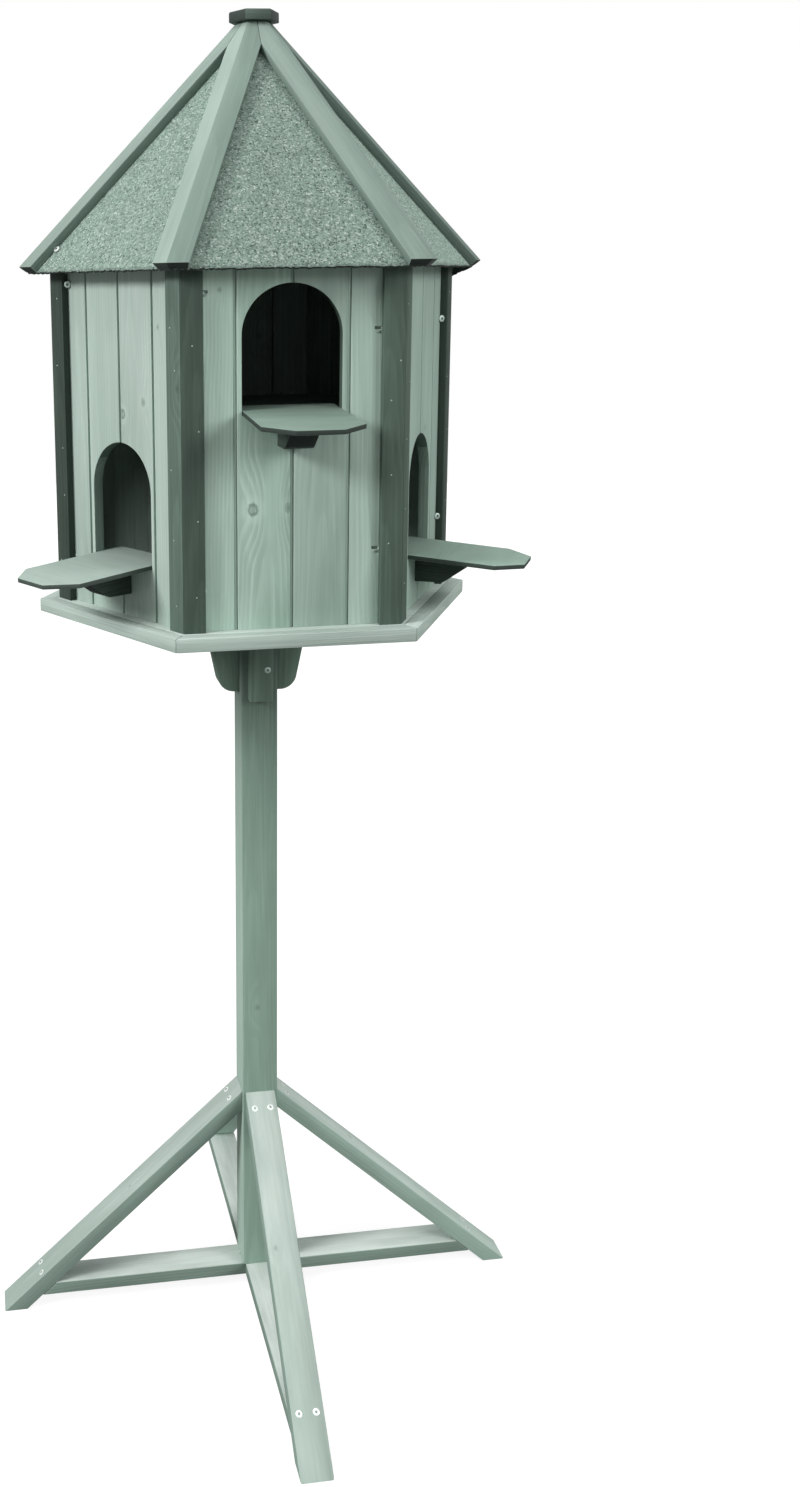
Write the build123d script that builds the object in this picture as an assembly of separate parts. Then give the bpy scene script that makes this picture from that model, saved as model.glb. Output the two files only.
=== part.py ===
"""Hexagonal dovecote on a post, in millimetres.

+Z is up and the origin is on the ground, under the middle of the post. The front wall faces -Y.
The house is a six-sided box of upright boards, 810 mm high over its roof, on a stand 1110 mm high.
The front wall has an upper arched hole and both its neighbours have a lower one, each with a
landing board that lies in the hole and on a bracket. The three back walls are plain. Each node is
one real piece, or a set of like pieces that don't touch.
"""

from build123d import *
import math
import os

# ---- overall heights -------------------------------------------------------------------------
STAND_HEIGHT = 1110.0        # ground to the underside of the house floor
HOUSE_HEIGHT = 810.0         # underside of the floor to the top of the cap

# ---- stand: square post, four raked legs, two crossed ties -------------------------------------
POST_SIDE = 54.0
LEG_WIDTH = 46.0
LEG_THICKNESS = 24.0
LEG_HEAD_HEIGHT = 342.0      # upper edge of each leg where it meets the post
FOOT_REACH = 404.0           # post axis to the tip of each foot
TIE_WIDTH = 46.0
TIE_THICKNESS = 20.0
TIE_CLEARANCE = 22.0         # daylight under the ties
LAP_CLEARANCE = 0.2          # sideways play of the half-lap where the ties cross

# ---- socket that holds the house on the post ---------------------------------------------------
CHEEK_THICKNESS = 30.0
CHEEK_HEIGHT = 131.0
CHEEK_HEAD_REACH = 54.0      # beyond the face of the post, under the floor
CHEEK_FOOT_REACH = 27.0      # the same at the lower end
CHEEK_ROUNDING = 24.0
BLOCK_WIDTH = 34.0
BLOCK_THICKNESS = 16.0
BLOCK_HEIGHT = 140.0

# ---- floor -------------------------------------------------------------------------------------
FLOOR_THICKNESS = 18.0
FLOOR_LEDGE = 23.7           # floor that shows outside the corner trim
EDGING_THICKNESS = 20.0

# ---- walls -------------------------------------------------------------------------------------
WALL_REACH = 236.0           # axis to the outer face of a wall
WALL_THICKNESS = 15.0
TRIM_WIDTH = 29.0
TRIM_THICKNESS = 10.5
UPPER_FLOOR_THICKNESS = 12.0
UPPER_FLOOR_DROP = 12.0      # below the foot of the upper holes

# ---- holes and landing boards ------------------------------------------------------------------
HOLE_WIDTH = 128.0
HOLE_HEIGHT = 162.0
LOWER_HOLE_FOOT = 70.0       # above the top of the floor
HOLE_ROW_GAP = 42.0          # from the head of a lower hole up to the foot of an upper one
HOLE_HEAD_ROOM = 18.0        # from the head of an upper hole up to the eave
PERCH_THICKNESS = 6.0
PERCH_REACH = 148.0          # beyond the wall
PERCH_INNER_REACH = 29.0     # past the inner face of the wall
PERCH_CLIPPED = 34.0         # clipped off both outer corners
PERCH_FALL = 4.0             # degrees that the landing board drops outwards
PERCH_CLEARANCE = 0.5        # each side of the board in its hole
BRACKET_WIDTH = 38.0
BRACKET_REACH = 80.0
BRACKET_HEIGHT = 39.0
BRACKET_FOOT_REACH = 38.0
BRACKET_TIP = 3.0            # height of the blunt outer tip
BRACKET_ROUNDING = 18.0

# ---- roof --------------------------------------------------------------------------------------
EAVE_OVERHANG = 26.5         # lower edge of the felt, outside the corner trim
ROOF_BOARD_THICKNESS = 12.0
FELT_THICKNESS = 3.0
FELT_OVERHANG = 13.0         # felt past the roof boards, down the slope
BATTEN_WIDTH = 21.0
BATTEN_THICKNESS = 12.0
CAP_CORNER_RADIUS = 34.5
CAP_THICKNESS = 14.0
CAP_CHAMFER = 1.5
CAP_OVERHANG = 10.5          # corner of the cap, outside the ridge of the batten that runs under it

# ---- joints ------------------------------------------------------------------------------------
SIDES = 6
SEAM = 0.4                   # open seam of a mitre between two like pieces
LONG = 2000.0                # reach of a cutting tool, beyond the whole object

# ---- worked out from the values above ----------------------------------------------------------
HALF_SECTOR = 180.0 / SIDES
CORNER_TAN = math.tan(math.radians(HALF_SECTOR))
CORNER_COS = math.cos(math.radians(HALF_SECTOR))
FLOOR_TOP = STAND_HEIGHT + FLOOR_THICKNESS
TOTAL_HEIGHT = STAND_HEIGHT + HOUSE_HEIGHT
CAP_FOOT = TOTAL_HEIGHT - CAP_THICKNESS
WALL_INNER_REACH = WALL_REACH - WALL_THICKNESS
TRIM_REACH = WALL_REACH + TRIM_THICKNESS
FLOOR_REACH = TRIM_REACH + FLOOR_LEDGE
HOLE_ROW_PITCH = HOLE_HEIGHT + HOLE_ROW_GAP
TIE_TOP = TIE_CLEARANCE + TIE_THICKNESS

# The ridge of each batten passes under the cap at CAP_COVER. The rise of the roof for each
# millimetre of reach follows from that, the height of the eave and the battens' thickness.
CAP_COVER = CAP_CORNER_RADIUS - CAP_OVERHANG
EAVE_REACH = TRIM_REACH + EAVE_OVERHANG
EAVE_TOP = FLOOR_TOP + LOWER_HOLE_FOOT + HOLE_ROW_PITCH + HOLE_HEIGHT + HOLE_HEAD_ROOM


def batten_ridge_gap(rise):
    """How far below the cap the battens' ridge is at CAP_COVER, on a roof that rises this steeply."""
    stack = BATTEN_THICKNESS * math.hypot(1.0, rise)
    return CAP_FOOT - (EAVE_TOP + (EAVE_REACH - CAP_COVER * CORNER_COS) * rise + stack)


def solve_rise():
    """The rise that brings the battens' ridge to the underside of the cap, found by halving."""
    low = 0.1
    high = 10.0
    for _ in range(60):
        middle = (low + high) / 2
        if batten_ridge_gap(middle) > 0:
            low = middle
        else:
            high = middle
    return (low + high) / 2


ROOF_RISE = solve_rise()
ROOF_SLOPE = math.atan(ROOF_RISE)
FELT_APEX = EAVE_TOP + EAVE_REACH * ROOF_RISE
BOARD_APEX = FELT_APEX - FELT_THICKNESS / math.cos(ROOF_SLOPE)
BOARD_FOOT_APEX = BOARD_APEX - ROOF_BOARD_THICKNESS / math.cos(ROOF_SLOPE)

LEG_SLOPE = math.atan2(LEG_HEAD_HEIGHT, FOOT_REACH - POST_SIDE / 2)
LEG_FOOT_LENGTH = LEG_THICKNESS / math.sin(LEG_SLOPE)
LEG_HEAD_DEPTH = LEG_THICKNESS / math.cos(LEG_SLOPE)

# A turn of 0 leaves a piece on the front side. Turns run anticlockwise, seen from above.
WALL_TURNS = {"front": 0, "front_right": 60, "back_right": 120, "back": 180, "back_left": 240, "front_left": 300}
CORNER_TURNS = {"right_front": 0, "right": 60, "right_back": 120, "left_back": 180, "left": 240, "left_front": 300}
STAND_TURNS = {"front": 0, "right": 90, "back": 180, "left": 270}
HOLE_SIDES = ("front", "front_right", "front_left")
UPPER_HOLES = ("front",)

nodes = {}


# ---- small helpers -----------------------------------------------------------------------------
def turned(shape, degrees):
    """The shape turned about the post's axis."""
    return Rot(0, 0, degrees) * shape


def mirrored(shape):
    """The shape on the other side of the middle of its wall."""
    return mirror(shape, about=Plane.YZ)


def side_profile(points, width):
    """A solid of this width across the front side, from its outline as (reach, height) points."""
    outline = Polyline([(0, -reach, height) for reach, height in points], close=True)
    return extrude(make_face(outline), amount=width / 2, dir=(1, 0, 0), both=True)


def sector(seam=SEAM):
    """The space between the two corner planes of the front side, short of them by half a seam."""
    start = seam / 2 / math.sin(math.radians(HALF_SECTOR))
    outline = Polyline(
        [(0, -start, 0), (LONG * CORNER_TAN, -start - LONG, 0), (-LONG * CORNER_TAN, -start - LONG, 0)],
        close=True,
    )
    return extrude(make_face(outline), amount=2 * LONG, dir=(0, 0, 1))


def hexagon(reach, thickness, foot):
    """A hexagonal board whose sides are this far from the axis, one of them to the front."""
    board = extrude(RegularPolygon(reach, SIDES, major_radius=False), amount=thickness)
    return Pos(0, 0, foot) * board


def under_roof(reach):
    """Height of the underside of the roof boards at this reach."""
    return BOARD_FOOT_APEX - reach * ROOF_RISE


def hole_foot(side):
    """Height of the foot of the hole in this wall, at its outer face."""
    if side in UPPER_HOLES:
        return FLOOR_TOP + LOWER_HOLE_FOOT + HOLE_ROW_PITCH
    return FLOOR_TOP + LOWER_HOLE_FOOT


def perch_drop(distance):
    """How far the underside of a landing board falls over this distance out from the wall."""
    return distance * math.tan(math.radians(PERCH_FALL))


# ---- stand -------------------------------------------------------------------------------------
def make_post():
    """Square post that stands on the crossed ties and carries the floor."""
    height = STAND_HEIGHT - TIE_TOP
    return Pos(0, 0, TIE_TOP) * Box(POST_SIDE, POST_SIDE, height, align=(Align.CENTER, Align.CENTER, Align.MIN))


def make_leg():
    """Raked leg, cut plumb against the post and level on the ground."""
    face = POST_SIDE / 2
    outline = [
        (face, LEG_HEAD_HEIGHT),
        (FOOT_REACH, 0),
        (FOOT_REACH - LEG_FOOT_LENGTH, 0),
        (face, LEG_HEAD_HEIGHT - LEG_HEAD_DEPTH),
    ]
    return side_profile(outline, LEG_WIDTH)


def make_tie():
    """Flat tie from one leg to the opposite one, its ends cut to the rake of the legs."""
    def leg_inner(height):
        return FOOT_REACH - LEG_FOOT_LENGTH - height / math.tan(LEG_SLOPE)

    outline = [
        (-leg_inner(TIE_CLEARANCE), TIE_CLEARANCE),
        (leg_inner(TIE_CLEARANCE), TIE_CLEARANCE),
        (leg_inner(TIE_TOP), TIE_TOP),
        (-leg_inner(TIE_TOP), TIE_TOP),
    ]
    return side_profile(outline, TIE_WIDTH)


def lap_cut(lower_half):
    """The half of a tie's thickness that is cut away where the two ties cross."""
    half = TIE_THICKNESS / 2
    foot = TIE_CLEARANCE if lower_half else TIE_CLEARANCE + half
    length = TIE_WIDTH + LAP_CLEARANCE
    return Pos(0, 0, foot) * Box(length, length, half, align=(Align.CENTER, Align.CENTER, Align.MIN))


def make_cheek():
    """Gusset from the post to the floor, with its lower outer corner rounded."""
    face = POST_SIDE / 2
    head = STAND_HEIGHT
    foot = head - CHEEK_HEIGHT
    outline = [
        (face, head),
        (face + CHEEK_HEAD_REACH, head),
        (face + CHEEK_FOOT_REACH, foot),
        (face, foot),
    ]
    cheek = side_profile(outline, CHEEK_THICKNESS)
    corner = cheek.edges().filter_by(Axis.X).sort_by(Axis.Z)[:2].sort_by(Axis.Y)[0]
    return fillet(corner, min(CHEEK_ROUNDING, CHEEK_FOOT_REACH - 1))


def make_block():
    """Short straight block on the face of the post, screwed to it under the floor."""
    face = POST_SIDE / 2
    block = Box(BLOCK_WIDTH, BLOCK_THICKNESS, BLOCK_HEIGHT, align=(Align.CENTER, Align.MAX, Align.MAX))
    return Pos(0, -face, STAND_HEIGHT) * block


def build_stand():
    nodes["post"] = [make_post()]
    leg = make_leg()
    for side, turn in STAND_TURNS.items():
        nodes["leg_" + side] = [turned(leg, turn)]
    tie = make_tie()
    nodes["tie_front_back"] = [tie - lap_cut(lower_half=True)]
    nodes["tie_left_right"] = [turned(tie, 90) - lap_cut(lower_half=False)]
    cheek = make_cheek()
    block = make_block()
    nodes["socket_cheeks"] = [turned(cheek, 90), turned(cheek, 270)]
    nodes["socket_blocks"] = [block, turned(block, 180)]


# ---- floors ------------------------------------------------------------------------------------
def build_floors():
    board_reach = FLOOR_REACH - EDGING_THICKNESS
    nodes["floor_board"] = [hexagon(board_reach, FLOOR_THICKNESS, STAND_HEIGHT)]
    outline = [
        (board_reach, STAND_HEIGHT),
        (FLOOR_REACH, STAND_HEIGHT),
        (FLOOR_REACH, FLOOR_TOP),
        (board_reach, FLOOR_TOP),
    ]
    strip = side_profile(outline, 2 * FLOOR_REACH) & sector()
    nodes["floor_edging"] = [turned(strip, turn) for turn in WALL_TURNS.values()]
    top = hole_foot(UPPER_HOLES[0]) - UPPER_FLOOR_DROP
    nodes["upper_floor"] = [hexagon(WALL_INNER_REACH, UPPER_FLOOR_THICKNESS, top - UPPER_FLOOR_THICKNESS)]


# ---- walls -------------------------------------------------------------------------------------
def make_hole(foot):
    """What is cut out of a wall: a round-headed hole whose foot falls like the landing board."""
    radius = HOLE_WIDTH / 2
    spring = foot + HOLE_HEIGHT - radius
    head = Pos(0, -WALL_REACH, spring) * Rot(90, 0, 0) * Cylinder(radius, 4 * WALL_THICKNESS)
    inner = WALL_REACH - 2 * WALL_THICKNESS
    outer = WALL_REACH + 2 * WALL_THICKNESS
    outline = [
        (inner, spring),
        (outer, spring),
        (outer, foot - perch_drop(outer - WALL_REACH)),
        (inner, foot - perch_drop(inner - WALL_REACH)),
    ]
    return head + side_profile(outline, HOLE_WIDTH)


def make_wall():
    """One side of the house, with its top bevelled under the roof and its ends mitred."""
    outline = [
        (WALL_INNER_REACH, FLOOR_TOP),
        (WALL_REACH, FLOOR_TOP),
        (WALL_REACH, under_roof(WALL_REACH)),
        (WALL_INNER_REACH, under_roof(WALL_INNER_REACH)),
    ]
    return side_profile(outline, 2 * WALL_REACH) & sector()


def make_trim():
    """Strip that covers the right-hand end of a wall, mitred at the corner of the house."""
    outline = [
        (WALL_REACH, FLOOR_TOP),
        (TRIM_REACH, FLOOR_TOP),
        (TRIM_REACH, under_roof(TRIM_REACH)),
        (WALL_REACH, under_roof(WALL_REACH)),
    ]
    inner_edge = TRIM_REACH * CORNER_TAN - TRIM_WIDTH
    keep = Pos(inner_edge, 0, 0) * Box(LONG, 2 * LONG, 4 * LONG, align=(Align.MIN, Align.CENTER, Align.CENTER))
    return side_profile(outline, 2 * TRIM_REACH) & sector() & keep


def build_walls():
    for side, turn in WALL_TURNS.items():
        wall = make_wall()
        if side in HOLE_SIDES:
            wall -= make_hole(hole_foot(side))
        nodes["wall_" + side] = [turned(wall, turn)]
    right_end = make_trim()
    left_end = mirrored(right_end)
    for corner, turn in CORNER_TURNS.items():
        nodes["corner_trim_" + corner] = [turned(right_end, turn), turned(left_end, turn + 60)]


# ---- landing boards ----------------------------------------------------------------------------
def make_perch(foot):
    """Thin board through the hole, with both outer corners clipped, falling a little outwards."""
    half = HOLE_WIDTH / 2 - PERCH_CLEARANCE
    inner = WALL_THICKNESS + PERCH_INNER_REACH
    outline = Polyline(
        [
            (-half, inner),
            (half, inner),
            (half, PERCH_CLIPPED - PERCH_REACH),
            (half - PERCH_CLIPPED, -PERCH_REACH),
            (PERCH_CLIPPED - half, -PERCH_REACH),
            (-half, PERCH_CLIPPED - PERCH_REACH),
        ],
        close=True,
    )
    board = extrude(make_face(outline), amount=PERCH_THICKNESS)
    return Pos(0, -WALL_REACH, foot) * Rot(PERCH_FALL, 0, 0) * board


def make_bracket(foot):
    """Block under a landing board, its outer end cut back to a blunt tip and rounded below."""
    outline = [
        (WALL_REACH, foot),
        (WALL_REACH + BRACKET_REACH, foot - perch_drop(BRACKET_REACH)),
        (WALL_REACH + BRACKET_REACH, foot - perch_drop(BRACKET_REACH) - BRACKET_TIP),
        (WALL_REACH + BRACKET_FOOT_REACH, foot - BRACKET_HEIGHT),
        (WALL_REACH, foot - BRACKET_HEIGHT),
    ]
    bracket = side_profile(outline, BRACKET_WIDTH)
    corner = bracket.edges().filter_by(Axis.X).sort_by(Axis.Z)[:2].sort_by(Axis.Y)[0]
    return fillet(corner, BRACKET_ROUNDING)


def build_perches():
    nodes["perch_brackets"] = []
    for side in HOLE_SIDES:
        turn = WALL_TURNS[side]
        foot = hole_foot(side)
        nodes["perch_" + side] = [turned(make_perch(foot), turn)]
        nodes["perch_brackets"].append(turned(make_bracket(foot), turn))


# ---- roof --------------------------------------------------------------------------------------
def slope_plane(apex):
    """The front slope through this apex: x across, y up the slope, z out of it."""
    normal = (0, -math.sin(ROOF_SLOPE), math.cos(ROOF_SLOPE))
    return Plane(origin=(0, 0, apex), x_dir=(1, 0, 0), z_dir=normal)


def below_cap():
    """Everything that is lower than the underside of the cap."""
    return Pos(0, 0, CAP_FOOT) * Box(2 * LONG, 2 * LONG, 2 * LONG, align=(Align.CENTER, Align.CENTER, Align.MAX))


def make_slope(apex, thickness, length):
    """One sheet of the roof, square at the eave and mitred along both hips, on top of this apex."""
    half = length * math.cos(ROOF_SLOPE) * CORNER_TAN + thickness
    outline = Polyline([(0, 0), (half * 1.2, -length), (-half * 1.2, -length)], close=True)
    sheet = extrude(make_face(slope_plane(apex).location * outline), amount=thickness, dir=slope_plane(apex).z_dir)
    return sheet & sector() & below_cap()


def make_batten():
    """Half of a hip batten: a strip along the right-hand hip of the front slope, mitred to its twin."""
    length = EAVE_REACH / math.cos(ROOF_SLOPE)
    hip = math.atan(math.cos(ROOF_SLOPE) * CORNER_TAN)
    across = BATTEN_WIDTH / math.sin(hip)
    overlap = 2 * BATTEN_THICKNESS
    outline = Polyline(
        [
            (SEAM / 2, 0),
            (SEAM / 2 + overlap, 0),
            (length * math.tan(hip) + overlap, -length),
            (length * math.tan(hip) - BATTEN_WIDTH / math.cos(hip), -length),
            (SEAM / 2, -across - SEAM / 2 / math.tan(hip)),
        ],
        close=True,
    )
    plane = slope_plane(FELT_APEX)
    strip = extrude(make_face(plane.location * outline), amount=BATTEN_THICKNESS, dir=plane.z_dir)
    return strip & sector() & below_cap()


def build_roof():
    eave_length = EAVE_REACH / math.cos(ROOF_SLOPE)
    # A sheet that lies deeper in the roof starts lower down the slope, by its depth times the rise.
    felt_length = eave_length - FELT_THICKNESS * ROOF_RISE
    board_length = felt_length - FELT_OVERHANG - ROOF_BOARD_THICKNESS * ROOF_RISE
    board = make_slope(BOARD_FOOT_APEX, ROOF_BOARD_THICKNESS, board_length)
    felt = make_slope(BOARD_APEX, FELT_THICKNESS, felt_length)
    nodes["roof_boards"] = [turned(board, turn) for turn in WALL_TURNS.values()]
    nodes["roof_felt"] = [turned(felt, turn) for turn in WALL_TURNS.values()]
    right_strip = make_batten()
    left_strip = mirrored(right_strip)
    for corner, turn in CORNER_TURNS.items():
        nodes["hip_batten_" + corner] = [turned(right_strip, turn), turned(left_strip, turn + 60)]
    cap = hexagon(CAP_CORNER_RADIUS * CORNER_COS, CAP_THICKNESS, CAP_FOOT)
    nodes["cap"] = [chamfer(cap.faces().sort_by(Axis.Z)[-1].edges(), CAP_CHAMFER)]


def write_parts():
    """One STEP file for each node."""
    os.makedirs("parts", exist_ok=True)
    for name, solids in nodes.items():
        shape = solids[0] if len(solids) == 1 else Compound(children=solids)
        export_step(shape, "parts/" + name + ".step")


build_stand()
build_floors()
build_walls()
build_perches()
build_roof()
write_parts()
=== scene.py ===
"""The finished look of a hexagonal dovecote on its stand, in metres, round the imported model."""

import math
import random

import bpy
import numpy as np
from mathutils import Matrix, Vector


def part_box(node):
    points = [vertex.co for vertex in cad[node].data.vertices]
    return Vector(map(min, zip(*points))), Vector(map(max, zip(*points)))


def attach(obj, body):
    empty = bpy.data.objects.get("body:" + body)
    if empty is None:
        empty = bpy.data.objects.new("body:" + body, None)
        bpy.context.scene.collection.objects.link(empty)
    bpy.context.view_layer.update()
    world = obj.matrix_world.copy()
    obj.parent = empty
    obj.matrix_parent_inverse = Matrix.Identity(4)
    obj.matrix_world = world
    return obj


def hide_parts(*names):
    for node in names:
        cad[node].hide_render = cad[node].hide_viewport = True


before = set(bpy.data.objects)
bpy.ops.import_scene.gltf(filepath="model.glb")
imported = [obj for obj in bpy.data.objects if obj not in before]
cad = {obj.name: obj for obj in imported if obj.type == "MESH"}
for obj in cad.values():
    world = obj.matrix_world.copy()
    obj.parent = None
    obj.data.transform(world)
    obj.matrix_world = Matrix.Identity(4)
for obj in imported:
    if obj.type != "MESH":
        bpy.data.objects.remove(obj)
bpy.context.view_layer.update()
bpy.ops.object.select_all(action="DESELECT")

# Turns run anticlockwise from above, and 0 is the front.
SIDES = {"front": 0, "front_right": 60, "back_right": 120,
         "back": 180, "back_left": 240, "front_left": 300}
CORNERS = {"right_front": 0, "right": 60, "right_back": 120,
           "left_back": 180, "left": 240, "left_front": 300}
STAND_SIDES = {"front": 0, "right": 90, "back": 180, "left": 270}
HOLE_SIDES = ("front", "front_right", "front_left")

BOARD_PITCH = 0.0725      # one matchboard to the next
JOINT_WIDTH = 0.0046      # from the lip of one board to the lip of the next
TONGUE_WIDTH = 0.0034
TONGUE_DROP = 0.0024      # the tongue lies this far below the face of the boards
GROOVE_DROP = 0.0060      # and below this the joint is closed
NARROWEST_BOARD = 0.015   # what is narrower, such as a tongue, isn't counted as a board
HOLE_HALF_WIDTH = 0.066   # a little more than the CAD's, so that the sawn edges are within it
HOLE_HEIGHT = 0.175       # from under the landing board to above the crown of the arch
MITRE_GAP = 0.0004        # how far apart the CAD's mitred ends are
TOUCH = 0.0001            # what is this near to a plane lies in it
PIN_KNOT = 0.0035         # a smaller knot than this is a pin knot
SCREW_HEAD = 0.0046       # radius
PIN_HEAD = 0.0010         # radius
NOTCH = (0.0088, 0.0070, 0.0034)   # where a screw went in askew: its width, depth and height
NOTCH_RISE = 0.0030       # the notch is this far above the screw's point of entry

# Screws driven askew beside the corner strips: how far right of the wall's middle, and how high.
SKEW_SCREWS = {"front": ((0.1092, 1.5040), (0.1085, 1.2255), (-0.1105, 1.5515))}
for hidden_side in ("back_right", "back", "back_left"):
    SKEW_SCREWS[hidden_side] = ((0.1092, 1.5070), (0.1088, 1.2240),
                                (-0.1095, 1.5480), (-0.1092, 1.1840))

# Knots in the walls: on which wall, how far right of its middle, how high, and how large.
WALL_KNOTS = (("front", -0.0505, 1.2831, 0.0058), ("front", -0.0045, 1.2841, 0.0046),
              ("front", -0.0910, 1.5570, 0.0030), ("front_left", 0.0065, 1.3980, 0.0044),
              ("front_left", 0.0515, 1.4160, 0.0038), ("front_left", 0.0845, 1.5120, 0.0030),
              ("front_right", 0.0300, 1.3650, 0.0034), ("back", 0.0340, 1.4700, 0.0050))


# ---- helpers for the bench ---------------------------------------------------------------------
def outward(turn):
    """The direction that a side faces."""
    return Vector((math.sin(math.radians(turn)), -math.cos(math.radians(turn)), 0.0))


def along_side(turn):
    """The direction along a side, to the right of someone who faces it."""
    return Vector((math.cos(math.radians(turn)), math.sin(math.radians(turn)), 0.0))


def take(piece):
    """Selects this piece alone, to be worked on."""
    bpy.ops.object.select_all(action="DESELECT")
    piece.select_set(True)
    bpy.context.view_layer.objects.active = piece


def settle(piece):
    """Puts the piece's place into its mesh, so that its object is at the origin, unturned."""
    take(piece)
    bpy.ops.object.transform_apply(location=True, rotation=True, scale=True)


def finish_with(piece, kind, **settings):
    """Adds a modifier, sets it and applies it."""
    take(piece)
    modifier = piece.modifiers.new(kind.lower(), kind)
    for name, value in settings.items():
        setattr(modifier, name, value)
    bpy.ops.object.modifier_apply(modifier=modifier.name)


def merge_faces(piece):
    """Joins loose triangles into the whole flat faces that the timber has."""
    take(piece)
    bpy.ops.object.mode_set(mode="EDIT")
    bpy.ops.mesh.select_all(action="SELECT")
    bpy.ops.mesh.remove_doubles(threshold=0.00002)
    bpy.ops.mesh.dissolve_limited(angle_limit=math.radians(0.5))
    bpy.ops.object.mode_set(mode="OBJECT")


def copy_of(node, name):
    """A new piece with the shape of a CAD node, made of whole faces."""
    piece = bpy.data.objects.new(name, cad[node].data.copy())
    bpy.context.scene.collection.objects.link(piece)
    take(piece)
    bpy.ops.mesh.customdata_custom_splitnormals_clear()
    merge_faces(piece)
    return piece


def coat(piece, *finishes):
    """Gives the piece its finishes: the first goes all over it, and the rest wait for their faces."""
    piece.data.materials.clear()
    for finish in finishes:
        piece.data.materials.append(finish)


def ease(piece, radius, keep_sharp=None):
    """Takes the sharp arrises off, and marks the new narrow faces, which the finishes paint paler: partly
    wear, partly painted highlight.

    keep_sharp is the normal of a plane through the origin: the edges in it stay sharp and closed.
    """
    coat(piece, None, None)
    mesh = piece.data
    limit = "ANGLE"
    if keep_sharp is not None:
        limit = "WEIGHT"
        for v in mesh.vertices:
            off = v.co.dot(keep_sharp)
            if abs(off) < MITRE_GAP:
                v.co -= keep_sharp * off
        weight = mesh.attributes.new("bevel_weight_edge", "FLOAT", "EDGE")
        for edge in mesh.edges:
            ends = [mesh.vertices[n].co.dot(keep_sharp) for n in edge.vertices]
            weight.data[edge.index].value = 0.0 if max(abs(e) for e in ends) < TOUCH else 1.0
    finish_with(piece, "BEVEL", width=radius, segments=2, limit_method=limit,
                angle_limit=math.radians(28), material=1, use_clamp_overlap=True)
    bpy.ops.object.shade_smooth_by_angle(angle=math.radians(32))
    mesh = piece.data
    slots = np.zeros(len(mesh.polygons), np.int32)
    mesh.polygons.foreach_get("material_index", slots)
    arris = mesh.attributes.new("arris", "FLOAT", "FACE")
    arris.data.foreach_set("value", slots.astype(np.float32))
    mesh.polygons.foreach_set("material_index", np.zeros(len(slots), np.int32))


def close_mitre(piece, plane):
    """Draws mitred ends that stop just short of a plane a little past it, so that no light gets by.

    plane is the normal of that plane, which goes through the origin.
    """
    for v in piece.data.vertices:
        off = v.co.dot(plane)
        if TOUCH < abs(off) < 0.6 * MITRE_GAP:
            v.co -= plane * (off + math.copysign(TOUCH, off))


def boards_in(mesh):
    """For each vertex, the number of the board that it is part of, and the mesh's edges."""
    ends = np.zeros(len(mesh.edges) * 2, np.int32)
    mesh.edges.foreach_get("vertices", ends)
    ends = ends.reshape(-1, 2)
    board = np.arange(len(mesh.vertices))
    while True:
        low = np.minimum(board[ends[:, 0]], board[ends[:, 1]])
        after = board.copy()
        np.minimum.at(after, ends[:, 0], low)
        np.minimum.at(after, ends[:, 1], low)
        after = after[after]
        if (after == board).all():
            break
        board = after
    return np.unique(board, return_inverse=True)[1], ends


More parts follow.
